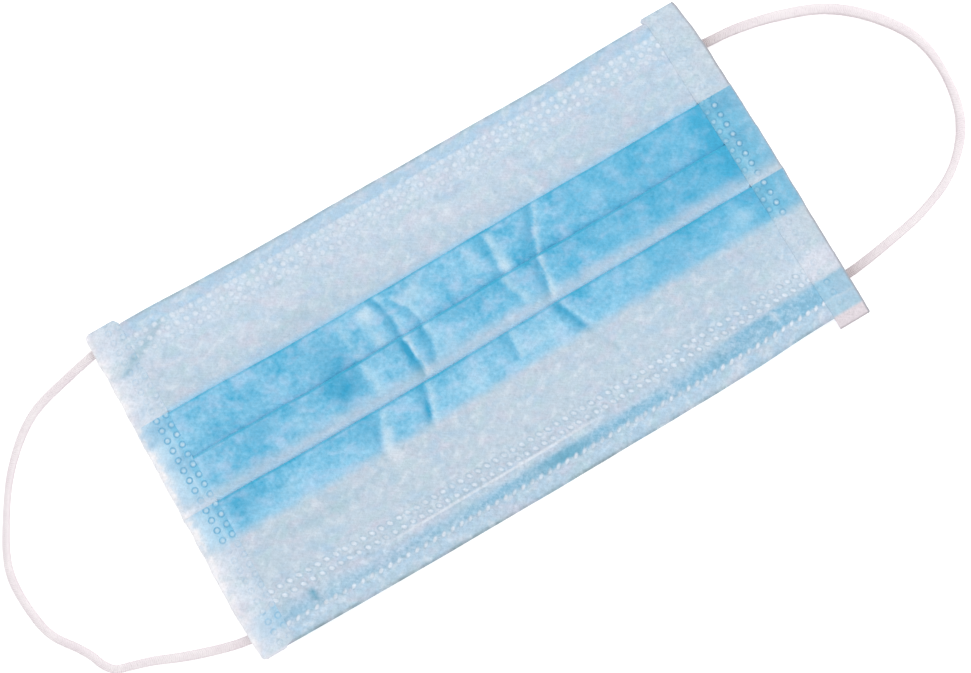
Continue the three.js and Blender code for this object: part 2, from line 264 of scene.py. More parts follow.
# Each row is a crease: its height, how strongly the cloth darkens to its left and how wide that is, the same
# for how it pales to its right, how gently the two meet, and the (x, y) points that the crest runs through.
# The darkening is painted shade on the crease's left and the paling painted highlight on its right, together
# with deeper blue and whitening of the bent cloth.
creases = (
    (0.45, 0.95, 2.1, 0.4, 1.7, 0.9, (
        (-20.2, 20.6), (-18.9, 17.5), (-18.1, 14.5), (-17.9, 11), (-18.1, 7.8))),
    (0.45, 1.35, 2.1, 0.95, 1.3, 0.6, ((-18.2, 7.3), (-17.9, 4), (-17.6, 0), (-17.6, -4.9))),
    (0.4, 1.1, 2.2, 0.7, 1.8, 0.9, ((-19.4, -5.3), (-20.0, -9), (-21.0, -12), (-22.3, -15.8))),
    (0.35, 0.5, 2.0, 0.45, 2.2, 0.8, ((-17.2, 18), (-15, 15.2), (-13.4, 13), (-12.4, 10.3), (-12.1, 7.7))),
    (0.25, 0.85, 3.0, 0.35, 1.6, 0.8, ((-12.3, 7.3), (-12.1, 4), (-12.7, 0.5), (-14, -2.5))),
    (0.45, 0.6, 3.6, 0.75, 1.2, 0.6, ((27.6, 20.8), (25.7, 16.5), (23.7, 12.5), (22.3, 9.5), (21.8, 7.7))),
    (0.45, 0.7, 2.9, 1.0, 1.4, 0.6, ((21.4, 7.3), (21.1, 4.5), (20.6, 1), (19.9, -2.5), (19.4, -5))),
    (0.45, 1.05, 2.4, 0.35, 1.8, 0.9, ((19.9, -5.3), (20.9, -8), (22.2, -11), (23.8, -15))),
    (0.3, 0.3, 2.0, 0.3, 1.6, 1.2, ((23.8, -14.8), (26.5, -19.5), (29.5, -24))),
    (0.3, 0.6, 1.7, 0.75, 2.5, 1.3, ((12.2, 19.5), (12.0, 14), (11.9, 10), (11.9, 7.8))),
    (0.25, 0.15, 1.5, 0.7, 2.4, 1.2, ((10.3, 7.3), (11.0, 4), (12.2, 1.5), (13.2, -1.5))),
    (0.4, 0.5, 2.4, 1.0, 2.6, 1.5, ((-33.0, -6.3), (-34.4, -10), (-35.8, -13.5), (-36.4, -18))),
    (0.15, 0.1, 2, 0.6, 3.2, 1.8, ((-32.2, 19), (-32.0, 13), (-32.0, 7.8))),
    (0.2, 0.15, 2, 0.65, 2.4, 1.4, ((-31.4, 7.2), (-31.0, 3), (-30.8, -2.3))),
    (0.2, 0.05, 2, 0.6, 3.6, 1.8, ((-26.2, 18.5), (-25.4, 12), (-24.8, 7.7))),
    (0.15, 0.1, 2, 0.5, 2.0, 1.0, ((-43.8, 4), (-43.4, -2.5))),
    (0.15, 0.1, 2, 0.4, 2.6, 1.8, ((5.2, 19), (5.6, 11))),
    (0.2, 0.65, 2.4, 0.45, 1.8, 0.9, ((4.9, -5.4), (5.2, -9), (4.6, -13))),
    (0.25, 1.4, 2.2, 0.3, 1.6, 1.3, ((-66.5, 42.0), (-73, 37.6), (-77, 35.6), (-82, 33.4))),
    (0.1, 1.3, 1.0, 0.7, 1.1, 0.4, ((-67.7, -35.1), (-67.5, -38.4))),
    (0.1, 1.2, 1.0, 0.9, 1.0, 0.4, ((63.9, -34.8), (64.0, -37.9))),
    (0.1, 0.35, 2.6, 0.1, 1.5, 1.0, ((48.4, -35.6), (48.8, -39.4))),
)

# Patches of painted shade (under 0) and painted light (over 0) on the folded cloth: centre, half sizes,
# strength
blots = (
    (-37, 12, 6, 7, -0.5), (-37.5, 3.6, 4.5, 3.6, -0.9), (-57, 14, 6, 4, -0.2), (-60, 4.5, 5, 4, -0.35),
    (-71, -9.5, 6, 4, -0.35), (-38, -8.6, 4, 2.8, -0.4), (-1, 5.2, 5, 2.5, -0.25), (1, -7.4, 3.5, 2.4, -0.25),
    (49, -11, 6, 3.2, -0.3), (66, 2, 9, 4, -0.25), (75.8, 14, 2.6, 7, -0.4), (76.5, 1, 2.6, 5, -0.4),
    (75.5, -6.4, 2.6, 1.8, -0.5), (0, -38.4, 9, 1.6, -0.4), (-50, 1, 4, 3, 0.3), (-10.5, 16, 4, 3.5, 0.45),
    (-8, 0.5, 3, 3, 0.3), (-62, -11, 4, 3, 0.3), (-8, -11, 6, 3, 0.35), (12, -11, 6, 3.6, 0.4),
    (43, -9, 3.4, 3, 0.4), (71.5, -12, 4, 3, 0.4), (-22.5, 17, 2.2, 2, 0.5), (13.6, 9.6, 1.4, 1.6, 0.5),
    (-57, -20.8, 13, 1.6, -0.65), (-36, 25.5, 9, 1.8, -0.45), (-44, 31, 8, 3, 0.3), (8, 28, 4, 2.5, 0.35),
    (75, -29.5, 6, 3.4, 0.7), (-34.5, -17.5, 2.6, 3, 0.5), (62, -24.5, 4, 1.6, -0.3),
    (-20.2, -33, 1.2, 1.6, -0.6), (-78.6, 36.5, 1.6, 1.4, -0.5), (82, 35.5, 3, 1.4, -0.4),
    (83, -35.3, 3, 1, -0.5), (75, 21.5, 3, 1.5, -0.3), (2, -38.3, 4.5, 1.5, -0.5),
)


def creaseFields(x, y):
    # A crest's ridge is a bell of the signed distance to it, wider on its right. Dark and pale, the painted
    # shade and painted highlight, are half bells on either side. Blots, patches of painted shade and light,
    # are bells in x and y. Slow and quick waves make all of it uneven.
    ridgeLeft, ridgeRight = 1.3, 2.1
    relief = np.zeros(np.broadcast(x, y).shape)
    tone = np.zeros_like(relief)
    uneven = 1 + 0.35 * waves(x, y, 7, 77, 3)
    for rise, dark, darkWide, pale, paleWide, soft, through in creases:
        crestX, crestY = np.array(sorted(through, key=lambda knot: knot[1])).T
        low, high = crestY[0], crestY[-1]
        line, ahead, behind = (softened(y + shift, crestY, crestX, 1, 5) for shift in (0, 0.5, -0.5))
        away = (x - line) / np.sqrt(1 + (ahead - behind) ** 2)
        ridge = smooth(y, low - 1.5, low + 1.5) * (1 - smooth(y, high - 1.5, high + 1.5))
        relief += rise * ridge * np.exp(-((away / np.where(away < 0, ridgeLeft, ridgeRight)) ** 2))
        ends = smooth(y, low - 0.3, low + 0.5) * (1 - smooth(y, high - 0.5, high + 0.3))
        away = away + 0.3 * waves(x, y, 5, 13, 2)
        tone -= dark * ends * uneven * smooth(-away, -0.6 * soft, soft) * np.exp(-((away / darkWide) ** 2))
        tone += pale * ends * uneven * smooth(away, -0.6 * soft, soft) * np.exp(-((away / paleWide) ** 2))
    for centreX, centreY, wide, tall, strength in blots:
        tone += strength * uneven * np.exp(-(((x - centreX) / wide) ** 2) - ((y - centreY) / tall) ** 2)
    return relief, tone


def reliefAt(x, y):
    # gentle unevenness of cloth that has lain folded, never under the ground
    soft = 0.18 * (1 + waves(x, y, 34, 5, 2)) * (1 - 0.6 * smooth(np.abs(x), 60, 78))
    return np.maximum(soft, 0) + creaseFields(x, y)[0]


# node helpers

def paint(colour):
    # a screen colour of 0 to 255 as Blender's linear colour
    value = np.array(colour) / 255
    linear = np.where(value <= 0.04045, value / 12.92, ((value + 0.055) / 1.055) ** 2.4)
    return (*[float(part) for part in linear], 1.0)


def feed(tree, socket, value):
    # links another node's output, or sets a number, a vector or a screen colour
    if isinstance(value, bpy.types.NodeSocket):
        tree.links.new(value, socket)
    elif socket.type == "RGBA":
        socket.default_value = paint(value)
    else:
        socket.default_value = value


def calc(tree, operation, *values, clamp=False):
    node = tree.nodes.new("ShaderNodeMath")
    node.operation = operation
    node.use_clamp = clamp
    for socket, value in zip(node.inputs, values):
        feed(tree, socket, value)
    return node.outputs[0]


def times(tree, first, *others, clamp=False):
    # product of two or more values, the last step held between 0 and 1 where clamp is set
    for index, other in enumerate(others, 1):
        first = calc(tree, "MULTIPLY", first, other, clamp=clamp and index == len(others))
    return first


def plus(tree, first, second):
    return calc(tree, "ADD", first, second)


def less(tree, first, second):
    return calc(tree, "SUBTRACT", first, second)


def larger(tree, first, second):
    return calc(tree, "MAXIMUM", first, second)


def span(tree, value, low, high, toLow=0.0, toHigh=1.0, soft=False):
    # value from low..high to toLow..toHigh, held at the ends
    node = tree.nodes.new("ShaderNodeMapRange")
    node.interpolation_type = "SMOOTHSTEP" if soft else "LINEAR"
    labels = ("Value", "From Min", "From Max", "To Min", "To Max")
    for label, given in zip(labels, (value, low, high, toLow, toHigh)):
        feed(tree, node.inputs[label], given)
    return node.outputs[0]


def blend(tree, factor, first, second):
    node = tree.nodes.new("ShaderNodeMix")
    node.data_type = "RGBA"
    feed(tree, node.inputs[0], factor)
    feed(tree, node.inputs[6], first)
    feed(tree, node.inputs[7], second)
    return node.outputs[2]


def ramp(tree, value, ends, stops):
    # a colour ramp from ends[0] to ends[1]; stops are (place in the value's units, grey or colour), in order
    low, high = ends
    node = tree.nodes.new("ShaderNodeValToRGB")
    elements = node.color_ramp.elements
    while len(elements) < len(stops):
        elements.new(0.5)
    for element, (place, colour) in zip(elements, stops):
        element.position = (place - low) / (high - low)
    for element, (place, colour) in zip(elements, stops):
        element.color = paint(colour) if hasattr(colour, "__len__") else (colour, colour, colour, 1)
    feed(tree, node.inputs[0], span(tree, value, low, high))
    return node.outputs[0]


def marks(tree, plan, move, turn, size, detail=2.0, roughness=0.5, distortion=0.0):
    # noise laid on the cloth, moved and turned, its marks about as big as size
    lay = tree.nodes.new("ShaderNodeMapping")
    lay.vector_type = "TEXTURE"
    feed(tree, lay.inputs["Vector"], plan)
    lay.inputs["Location"].default_value = (*move, 0)
    lay.inputs["Rotation"].default_value = (0, 0, turn)
    lay.inputs["Scale"].default_value = (*size, 1)
    node = tree.nodes.new("ShaderNodeTexNoise")
    node.noise_dimensions = "3D"
    node.noise_type = "FBM"
    feed(tree, node.inputs["Vector"], lay.outputs[0])
    node.inputs["Scale"].default_value = 1.0
    node.inputs["Detail"].default_value = detail
    node.inputs["Roughness"].default_value = roughness
    node.inputs["Distortion"].default_value = distortion
    return node.outputs[0]


def fromMesh(tree, name):
    node = tree.nodes.new("ShaderNodeAttribute")
    node.attribute_name = name
    return node.outputs["Fac"]


def scaled(tree, colour, factor):
    node = tree.nodes.new("ShaderNodeVectorMath")
    node.operation = "SCALE"
    tree.links.new(colour, node.inputs[0])
    tree.links.new(factor, node.inputs["Scale"])
    return node.outputs[0]


def newGroup(name, inputs, outputs):
    # sockets hold numbers, apart from the place on the pattern and the colours
    kinds = {"Plan": "Vector", "Base": "Color", "Colour": "Color"}
    tree = bpy.data.node_groups.new(name, "ShaderNodeTree")
    for way, labels in (("INPUT", inputs), ("OUTPUT", outputs)):
        for label in labels:
            tree.interface.new_socket(label, in_out=way, socket_type="NodeSocket" + kinds.get(label, "Float"))
    return tree, tree.nodes.new("NodeGroupInput").outputs, tree.nodes.new("NodeGroupOutput").inputs


def give(tree, out, **values):
    # links a group's results to its output
    for label, value in values.items():
        tree.links.new(value, out[label])
    return tree


def useGroup(tree, group, **values):
    node = tree.nodes.new("ShaderNodeGroup")
    node.node_tree = group
    for name, value in values.items():
        feed(tree, node.inputs[name], value)
    return node.outputs


# shader groups that several materials use

# turn, move, size and share of the three layers of fibres
fibreLayers = ((-0.6, 3.0, (1.9, 0.38), 0.4), (0.7, 11.0, (1.5, 0.4), 0.35), (-1.3, 19.0, (1.7, 0.4), 0.25))


def makeSpunbond():
    # Nonwoven cloth: clouds and smaller patches where fibres lie thick or thin, grain, and slanting fibres
    inputs = ("Plan", "CloudSize", "PatchSize", "GrainSize")
    tree, given, out = newGroup("spunbond", inputs, ("Cloud", "Patch", "Grain", "Fibre", "Height"))

    def sized(size, move, detail, low, high):
        node = tree.nodes.new("ShaderNodeVectorMath")
        node.operation = "DIVIDE"
        tree.links.new(given["Plan"], node.inputs[0])
        tree.links.new(given[size], node.inputs[1])
        return span(tree, marks(tree, node.outputs[0], move, 0, (1, 1), detail, 0.55), low, high)

    cloud = sized("CloudSize", (0, 0), 2.0, 0.3, 0.7)
    patch = sized("PatchSize", (31, 17), 3.0, 0.3, 0.7)
    grain = sized("GrainSize", (5, 43), 2.0, 0.25, 0.75)
    fibre = 0.0
    for turn, move, size, share in fibreLayers:
        layer = marks(tree, given["Plan"], (move, move), turn, size, distortion=0.5)
        fibre = plus(tree, fibre, span(tree, layer, 0.32, 0.68, 0.0, share))
    height = plus(tree, times(tree, fibre, 0.8), times(tree, grain, 0.5))
    return give(tree, out, Cloud=cloud, Patch=patch, Grain=grain, Fibre=fibre, Height=height)


# Spots of pale cloth: move, turn and size of their pattern, where it starts and is full, strength, colour
paleSpots = (
    ((40, 7), -0.3, (8, 5), 0.48, 0.74, 0.7, (170, 203, 229)),
    ((11, 50), 0.4, (5, 3.5), 0.5, 0.74, 0.5, (184, 214, 219)),
    ((3, 70), -0.4, (6, 4.2), 0.48, 0.74, 0.65, (211, 209, 225)),
    ((60, 20), 0.3, (3.2, 2.4), 0.5, 0.74, 0.6, (224, 233, 242)),
    ((25, 90), 0.9, (3.0, 2.2), 0.5, 0.74, 0.45, (172, 196, 214)),
)


def makePaleMottle():
    # Thin pale cloth over other cloth: cool, greenish, warm, white and grey spots over the base colour
    tree, given, out = newGroup("paleMottle", ("Plan", "Base", "Strength"), ("Colour",))
    colour = given["Base"]
    for move, turn, size, low, high, most, tint in paleSpots:
        spots = marks(tree, given["Plan"], move, turn, size, detail=2.5, distortion=0.3)
        factor = times(tree, span(tree, spots, low, high, 0.0, most), given["Strength"])
        colour = blend(tree, factor, colour, tint)
    return give(tree, out, Colour=colour)


def makeWeldRow():
    # A row of round welds. Along runs down the row, across is the distance from it, slant leans them.
    # Dot is 1 inside, ring 1 round the rim.
    inputs = ("Along", "Across", "Row", "Pitch", "Shift", "Radius", "Slant")
    tree, given, out = newGroup("weldRow", inputs, ("Dot", "Ring"))
    beside = less(tree, given["Across"], given["Row"])
    leant = plus(tree, given["Along"], times(tree, beside, given["Slant"]))
    turns = plus(tree, calc(tree, "DIVIDE", leant, given["Pitch"]), given["Shift"])
    offset = times(tree, less(tree, calc(tree, "FRACT", turns), 0.5), given["Pitch"])
    away = calc(tree, "SQRT", plus(tree, times(tree, offset, offset), times(tree, beside, beside)))
    share = calc(tree, "DIVIDE", away, given["Radius"])
    ring = times(tree, span(tree, share, 0.45, 0.95, soft=True), span(tree, share, 1.5, 1.05, soft=True))
    return give(tree, out, Dot=span(tree, share, 1.35, 0.25, soft=True), Ring=ring)


def makePleatBands():
    # Where three plies lie on each other the cloth looks blue. Each band has a thin darker line just inside
    # the fold that shows and a soft edge at the hidden fold. Two have a light blue fringe outside the fold:
    # blue showing through, and painted light against the shade in the crevice there.
    tree, given, out = newGroup("pleatBands", ("Y", "SoftY"), ("Band", "Depth", "Line", "Fringe"))
    first, second, third = mask["mountains"]

    def acrossPleats(value, *stops):
        return ramp(tree, value, (-25, 25), stops)

    crisp = acrossPleats(
        given["Y"], (-24, 1), (third - 0.05, 1), (third + 0.1, 0), (-4.3, 0), (-4.2, 1), (first - 0.05, 1),
        (first + 0.1, 0))
    soft = acrossPleats(
        given["SoftY"], (-16.6, 0), (-15.7, 0.3), (-14.3, 0.85), (-13.3, 1), (-4.9, 1), (-4.6, 0),
        (-4.1, 0.1), (-3.4, 0.26), (-2.4, 0.55), (-1.2, 0.85), (0, 1), (24, 1))
    depth = acrossPleats(
        given["Y"], (-15, 0.5), (-12, 0.5), (-8, 0.62), (third - 0.2, 0.75), (third + 0.1, 0.5), (-2.5, 0.62),
        (0, 0.66), (3, 0.62), (second - 0.2, 0.8), (second + 0.2, 0.75), (11, 0.62), (15, 0.6), (first, 0.7))
    lineShape = ((-0.75, 0), (-0.5, 1), (-0.15, 1), (0.03, 0))
    fringeShape = ((-0.02, 0), (0.05, 1), (0.55, 0.9), (1.0, 0.4), (1.9, 0))
    lineFolds = ((third, 0.8), (second, 1.0), (first, 0.7))
    line = acrossPleats(given["Y"], *[
        (fold + away, share * strength) for fold, strength in lineFolds for away, share in lineShape])
    fringe = acrossPleats(given["Y"], *[
        (fold + away, share) for fold in (third, first) for away, share in fringeShape])
    return give(tree, out, Band=times(tree, crisp, soft), Depth=depth, Line=line, Fringe=fringe)


spunbond = makeSpunbond()
paleMottle = makePaleMottle()
weldRow = makeWeldRow()
pleatBands = makePleatBands()
print("node groups made")


def weldsIn(tree, along, pitch, rows):
    # strongest dot and ring of several rows: across, row, shift, radius, slant, strength of dots and of rings
    dots, rings = 0.0, 0.0
    for across, row, shift, radius, slant, bright, rimmed in rows:
        weld = useGroup(tree, weldRow, Along=along, Across=across, Row=row, Pitch=pitch, Shift=shift,
                        Radius=radius, Slant=slant)
        dots = larger(tree, dots, times(tree, weld["Dot"], bright))
        rings = larger(tree, rings, times(tree, weld["Ring"], rimmed))
    return dots, rings


def startMaterial(name, roughness, sheen=0.0):
    material = bpy.data.materials.new(name)
    material.use_nodes = True
    tree = material.node_tree
    shader = tree.nodes["Principled BSDF"]
    shader.inputs["Roughness"].default_value = roughness
    shader.inputs["Specular IOR Level"].default_value = 0.25
    if sheen:
        shader.inputs["Sheen Weight"].default_value = sheen
        shader.inputs["Sheen Roughness"].default_value = 0.6
    plan = tree.nodes.new("ShaderNodeUVMap")
    plan.uv_map = "plan"
    parts = tree.nodes.new("ShaderNodeSeparateXYZ")
    tree.links.new(plan.outputs[0], parts.inputs[0])
    return material, tree, shader, plan.outputs[0], parts.outputs[0], parts.outputs[1]


def finishMaterial(tree, shader, colour, height, distance):
    # colour and a bump whose full height is distance, in metres
    bump = tree.nodes.new("ShaderNodeBump")
    bump.inputs["Strength"].default_value = 1.0
    bump.inputs["Distance"].default_value = distance
    tree.links.new(colour, shader.inputs["Base Color"])
    tree.links.new(height, bump.inputs["Height"])
    tree.links.new(bump.outputs[0], shader.inputs["Normal"])


outerFinish = {
    # colours from the nose edge to the chin edge; the grey lines at both very edges are painted shade
    "noseToChin": (
        (-44.1, (126, 144, 152)), (-43.8, (148, 170, 182)), (-43.4, (176, 202, 219)),
        (-42.5, (184, 209, 228)), (-40.6, (183, 210, 231)), (-40.2, (188, 211, 229)),
        (-36, (192, 210, 227)), (-34, (193, 208, 223)), (-28, (194, 211, 225)), (-17, (195, 212, 226)),
        (-4, (190, 207, 224)), (21, (187, 206, 223)), (25, (193, 211, 226)), (31, (201, 217, 232)),
        (36, (203, 219, 235)), (41.7, (205, 223, 239)), (42.2, (178, 209, 234)), (45.1, (182, 209, 230)),
        (45.55, (168, 191, 206)), (45.95, (146, 167, 179))),
    # how deep the bands look along the mask; the deepest step, beside the right strip, is painted shade
    "bandDepth": (
        (-87, 0.3), (-78.2, 0.3), (-77.6, 0.1), (-76.8, 0.1), (-75.8, 0.3), (-60, 0.3), (-38, 0.3),
        (-20, 0.22), (0, 0.24), (30, 0.38), (55, 0.42), (70, 0.48), (77, 0.78)),
    # upper edge of the wire's pocket along the mask, from the lowest at 0 to the highest at 1, and its depth
    "pocketEdge": (
        (-80, 0.7), (-66, 0.6), (-56, 0.2), (20, 0.2), (34, 0.55), (48, 0.7), (66, 0.85), (80, 0.9)),
    "pocketLowest": -37.2,
    "pocketHighest": -34.2,
    "pocketDepth": (
        (-80, 0.5), (-45, 0.45), (-20, 0.68), (-6, 0.72), (-1, 1.0), (5, 1.05), (9, 0.75), (30, 0.72),
        (50, 0.85), (80, 0.9)),
    "bandLight": (174, 221, 247),
    "bandDeep": (68, 175, 216),
    "haze": (194, 213, 241),
    # crease and creasePale: painted shade and painted highlight of creases and patches on the blue bands
    "crease": (52, 163, 206),
    "creasePale": (210, 232, 243),
    "line": (56, 172, 210),
    "fringe": (178, 219, 243),
    "cool": (170, 204, 227),
    # shade and white: painted shade and painted highlight of creases and patches on the pale cloth
    "shade": (140, 184, 200),
    "white": (226, 232, 241),
    "weld": (219, 230, 242),
    "weldRimShade": (162, 190, 210),
    "pocket": (136, 189, 218),
    "pocketShade": (84, 160, 190),
    "pocketHighlight": (222, 230, 240),
    "pitch": 2.53,
    # rows of welds: y, shift in pitches, radius, slant, brightness, how dark the rims are (partly painted
    # shade round the raised dots), dips or not
    "rows": (
        (41.35, 0.26, 0.8, 0.0, 0.95, 0.4, False),
        (39.0, 0.26, 0.8, 0.0, 1.0, 0.45, False),
        (36.5, 0.26, 0.75, 0.0, 0.8, 0.4, False),
        (-30.45, 0.9, 0.7, 0.4, 1.1, 0.95, True),
        (-32.95, 0.9, 0.68, 0.4, 1.15, 0.95, True),
        (-39.75, 0.9, 0.64, -0.5, 1.1, 0.7, False)),
    "rowDip": 0.4,  # how much lower the rows that dip lie left of and in the middle
}

# the ends of ramps that run along the whole mask
maskEnds = (-88, 88)


def makePaleCloth(tree, plan, x, y):
    # pale cloth, cooler towards the right, with the hem's line and spots, and painted shade along the nose
    # and chin edges
    cool = outerFinish["cool"]
    base = ramp(tree, y, (-50, 50), outerFinish["noseToChin"])
    base = blend(tree, span(tree, x, 5, 60, 0.0, 0.3), base, cool)
    hemLine = ramp(tree, y, (30, 40), ((33.8, 0), (34.3, 1), (34.8, 0)))
    base = blend(tree, times(tree, hemLine, span(tree, x, -20, 55, 0.1, 0.55)), base, cool)
    return useGroup(tree, paleMottle, Plan=plan, Base=base, Strength=1.0)["Colour"]


def makeBlueCloth(tree, plan, x, cloth, bandDepth):
    # blue bands: deeper where plies lie thick, hazy lilac where they lie thin, both quieter on the right
    look = outerFinish
    depth = plus(tree, bandDepth, less(tree, ramp(tree, x, maskEnds, look["bandDepth"]), 0.3))
    quiet = span(tree, x, 22, 44, 1.0, 0.6)
    for field, most in (("Cloud", 0.23), ("Patch", 0.19), ("Grain", 0.14)):
        depth = plus(tree, depth, times(tree, span(tree, cloth[field], 0, 1, most, -most), quiet))
    blue = blend(tree, span(tree, depth, 0, 1), look["bandLight"], look["bandDeep"])
    haze = span(tree, marks(tree, plan, (9, 33), -0.3, (5, 4), distortion=0.3), 0.48, 0.78, 0.0, 0.6)
    return blend(tree, times(tree, haze, quiet), blue, look["haze"])


def addPocket(tree, x, y, softY, cloth, base):
    # The wire's pocket: a blue band, wider and deeper towards the right, under a painted highlight along the
    # wire's upper shoulder in mid length.
    # Returns the cloth with it, and where it lies.
    look = outerFinish
    edge = ramp(tree, x, maskEnds, look["pocketEdge"])
    under = less(tree, y, span(tree, edge, 0, 1, look["pocketLowest"], look["pocketHighest"]))
    pocket = times(tree, span(tree, under, 1.3, -0.9, soft=True), span(tree, softY, -40.2, -39.2, soft=True))
    core = larger(tree, span(tree, y, -35.6, -38.2, 0.4, 1.0, soft=True), span(tree, x, 42, 54))
    deep = times(tree, pocket, core, ramp(tree, x, maskEnds, look["pocketDepth"]))
    for field, most in (("Patch", 0.35), ("Grain", 0.3), ("Fibre", 0.25)):
        deep = times(tree, deep, span(tree, cloth[field], 0, 1, 1 + most, 1 - most))
    base = blend(tree, span(tree, deep, 0, 1), base, look["pocket"])
    # painted highlight along the wire's upper shoulder
    line = ramp(tree, y, (-38, -33), ((-35.3, 0), (-34.95, 1), (-34.65, 1), (-34.3, 0)))
    line = times(tree, line, span(tree, x, -52, -36), span(tree, x, 15, 7))
    line = times(tree, line, span(tree, cloth["Patch"], 0, 1, 0.65, 1.0))
    return blend(tree, line, base, look["pocketHighlight"]), pocket


def addCreases(tree, cloth, bands, base, blue, pocket):
    # painted shade and highlight of creases and patches on both cloths, which then meet at the folds
    look = outerFinish
    tone = fromMesh(tree, "tone")
    pale = larger(tree, tone, 0.0)
    dark = larger(tree, times(tree, tone, -1.0), 0.0)
    rough = span(tree, cloth["Patch"], 0, 1, 0.75, 1.15)
    foldLine = times(tree, bands["Line"], span(tree, cloth["Cloud"], 0, 1, 1.0, 0.5))
    # painted shade and highlight of creases and patches on the blue bands
    blue = blend(tree, times(tree, dark, rough, 0.95, clamp=True), blue, look["crease"])
    blue = blend(tree, times(tree, pale, rough, 0.75, clamp=True), blue, look["creasePale"])
    blue = blend(tree, foldLine, blue, look["line"])
    # painted shade and highlight of creases and patches on the pale cloth
    base = blend(tree, times(tree, dark, 0.5, clamp=True), base, look["shade"])
    # painted shade at the wire's ends and in the darker patches of the pocket
    base = blend(tree, times(tree, dark, pocket, 0.8, clamp=True), base, look["pocketShade"])
    base = blend(tree, times(tree, pale, 0.6, clamp=True), base, look["white"])
    # the fringe: blue showing through, and painted light against the crevice shade above the fold
    base = blend(tree, bands["Fringe"], base, look["fringe"])
    return blend(tree, bands["Band"], base, blue)


def addWelds(tree, plan, x, y, colour):
    # welds, uneven from one to the next, their darker rims partly painted shade round the raised dots;
    # returns the cloth with them, and the dots
    look = outerFinish
    dipped = plus(tree, y, span(tree, x, 56, 30, 0.0, look["rowDip"], soft=True))
    rows = [(dipped if dips else y, *row) for *row, dips in look["rows"]]
    dots, rims = weldsIn(tree, x, look["pitch"], rows)
    uneven = marks(tree, plan, (21, 5), 0, (1.9, 1.9), roughness=0.6)
    inMid = span(tree, calc(tree, "ABSOLUTE", x), 20, 55, 0.82, 1.0)
    worn = times(tree, dots, inMid, span(tree, uneven, 0.3, 0.62, 0.35, 1.25), clamp=True)
    rims = times(tree, rims, span(tree, uneven, 0.35, 0.65, 0.85, 0.4))
    return blend(tree, worn, blend(tree, rims, colour, look["weldRimShade"]), look["weld"]), dots


def makeOuter():
    material, tree, shader, plan, x, y = startMaterial("blueNonwoven", 0.82, 0.15)
    cloth = useGroup(tree, spunbond, Plan=plan, CloudSize=12.0, PatchSize=4.0, GrainSize=1.15)
    softY = plus(tree, y, span(tree, cloth["Patch"], 0, 1, -0.5, 0.5))
    bands = useGroup(tree, pleatBands, Y=y, SoftY=softY)
    blue = makeBlueCloth(tree, plan, x, cloth, bands["Depth"])
    base, pocket = addPocket(tree, x, y, softY, cloth, makePaleCloth(tree, plan, x, y))
    colour, dots = addWelds(tree, plan, x, y, addCreases(tree, cloth, bands, base, blue, pocket))

    # grain and fibres lighten and darken everything a little, grain more where the wire's hem is welded
    coarse = span(tree, y, -27, -31, 0.12, 0.24)
    speckle = plus(tree, times(tree, less(tree, cloth["Grain"], 0.5), coarse), 1.0)
    colour = scaled(tree, colour, times(tree, speckle, span(tree, cloth["Fibre"], 0, 1, 0.9, 1.1)))
    height = plus(tree, times(tree, cloth["Height"], 0.6), times(tree, dots, 0.3))
    finishMaterial(tree, shader, colour, height, 0.0002)
    return material


innerFinish = {
    "thin": (236, 240, 245),
    "thick": (222, 230, 240),
    "fibre": (214, 222, 233),
    "weld": (205, 216, 230),
}


def makeInner():
    # plain white cloth with the same welds, pressed into it
    look = innerFinish
    material, tree, shader, plan, x, y = startMaterial("whiteInnerCloth", 0.88, 0.1)
    cloth = useGroup(tree, spunbond, Plan=plan, CloudSize=9.0, PatchSize=3.5, GrainSize=1.2)
    colour = blend(tree, cloth["Cloud"], look["thin"], look["thick"])
    colour = blend(tree, times(tree, cloth["Fibre"], 0.35), colour, look["fibre"])
    dots = weldsIn(tree, x, outerFinish["pitch"], [(y, *row[:4], 1.0, 0.0) for row in outerFinish["rows"]])[0]
    colour = blend(tree, times(tree, dots, 0.5), colour, look["weld"])
    finishMaterial(tree, shader, colour, less(tree, times(tree, cloth["Height"], 0.5), dots), 0.0002)
    return material


outerCloth = makeOuter()
innerCloth = makeInner()
print("cloth materials made")

loops = {
    "diameter": 2.7,
    "thick": 1.75,
    "step": 0.7,
    "around": 20,
    "heldHeight": 1.75,  # of its middle under a strip
    "heldEnd": 5.5,  # how far from its ends it is pressed flat there
    "freeFrom": 13,
}

# Route: how far out from the side edge, and y, from the chin end to the nose end. It follows the CAD's route,
# more finely at the left loop's kink. Widths: way along the loop and width there.
loopSides = {
    -1: {
        "name": "left",
        # edge and grey: how strong the painted shade is along the sides and near the strip
        "edge": 0.2,
        "grey": 0.15,
        "route": (
            (-8, 43.2), (0, 42.6), (8.1, 40.95), (20.6, 36.95), (30.6, 28.45), (38, 17.55), (43.4, 5.35),
            (43.1, -7.75), (41.4, -13.6), (37.3, -19.5), (35.4, -22.7), (34.1, -25.8), (32.1, -28.3),
            (28.4, -29.6), (23.4, -31.2), (15.4, -34.5), (5.2, -37.8), (-0.5, -38.9), (-8, -38.9)),
        "widths": (
            (0, 2.35), (28, 2.3), (40, 2.0), (50, 1.7), (60, 1.85), (72, 2.1), (100, 2.1), (114, 2.2),
            (128, 2.4), (147, 2.25)),
    },
    1: {
        "name": "right",
        # edge and grey: how strong the painted shade is along the sides and near the strip
        "edge": 0.35,
        "grey": 0.8,
        "route": (
            (-8, 33.7), (0, 33.7), (8.8, 33.15), (21.1, 30.35), (32.7, 25.55), (42.1, 17.15), (48.4, 6.35),
            (49, -6.25), (45.3, -18.05), (36.6, -27.05), (25.1, -32.15), (12.7, -34.65), (0, -36.3),
            (-8, -36.3)),
        "widths": (
            (0, 2.4), (17, 2.65), (30, 2.95), (50, 3.05), (62, 3.05), (70, 2.6), (79, 2.2), (92, 2.6),
            (102, 2.15), (118, 2.2), (132, 2.35), (151, 2.4)),
    },
}


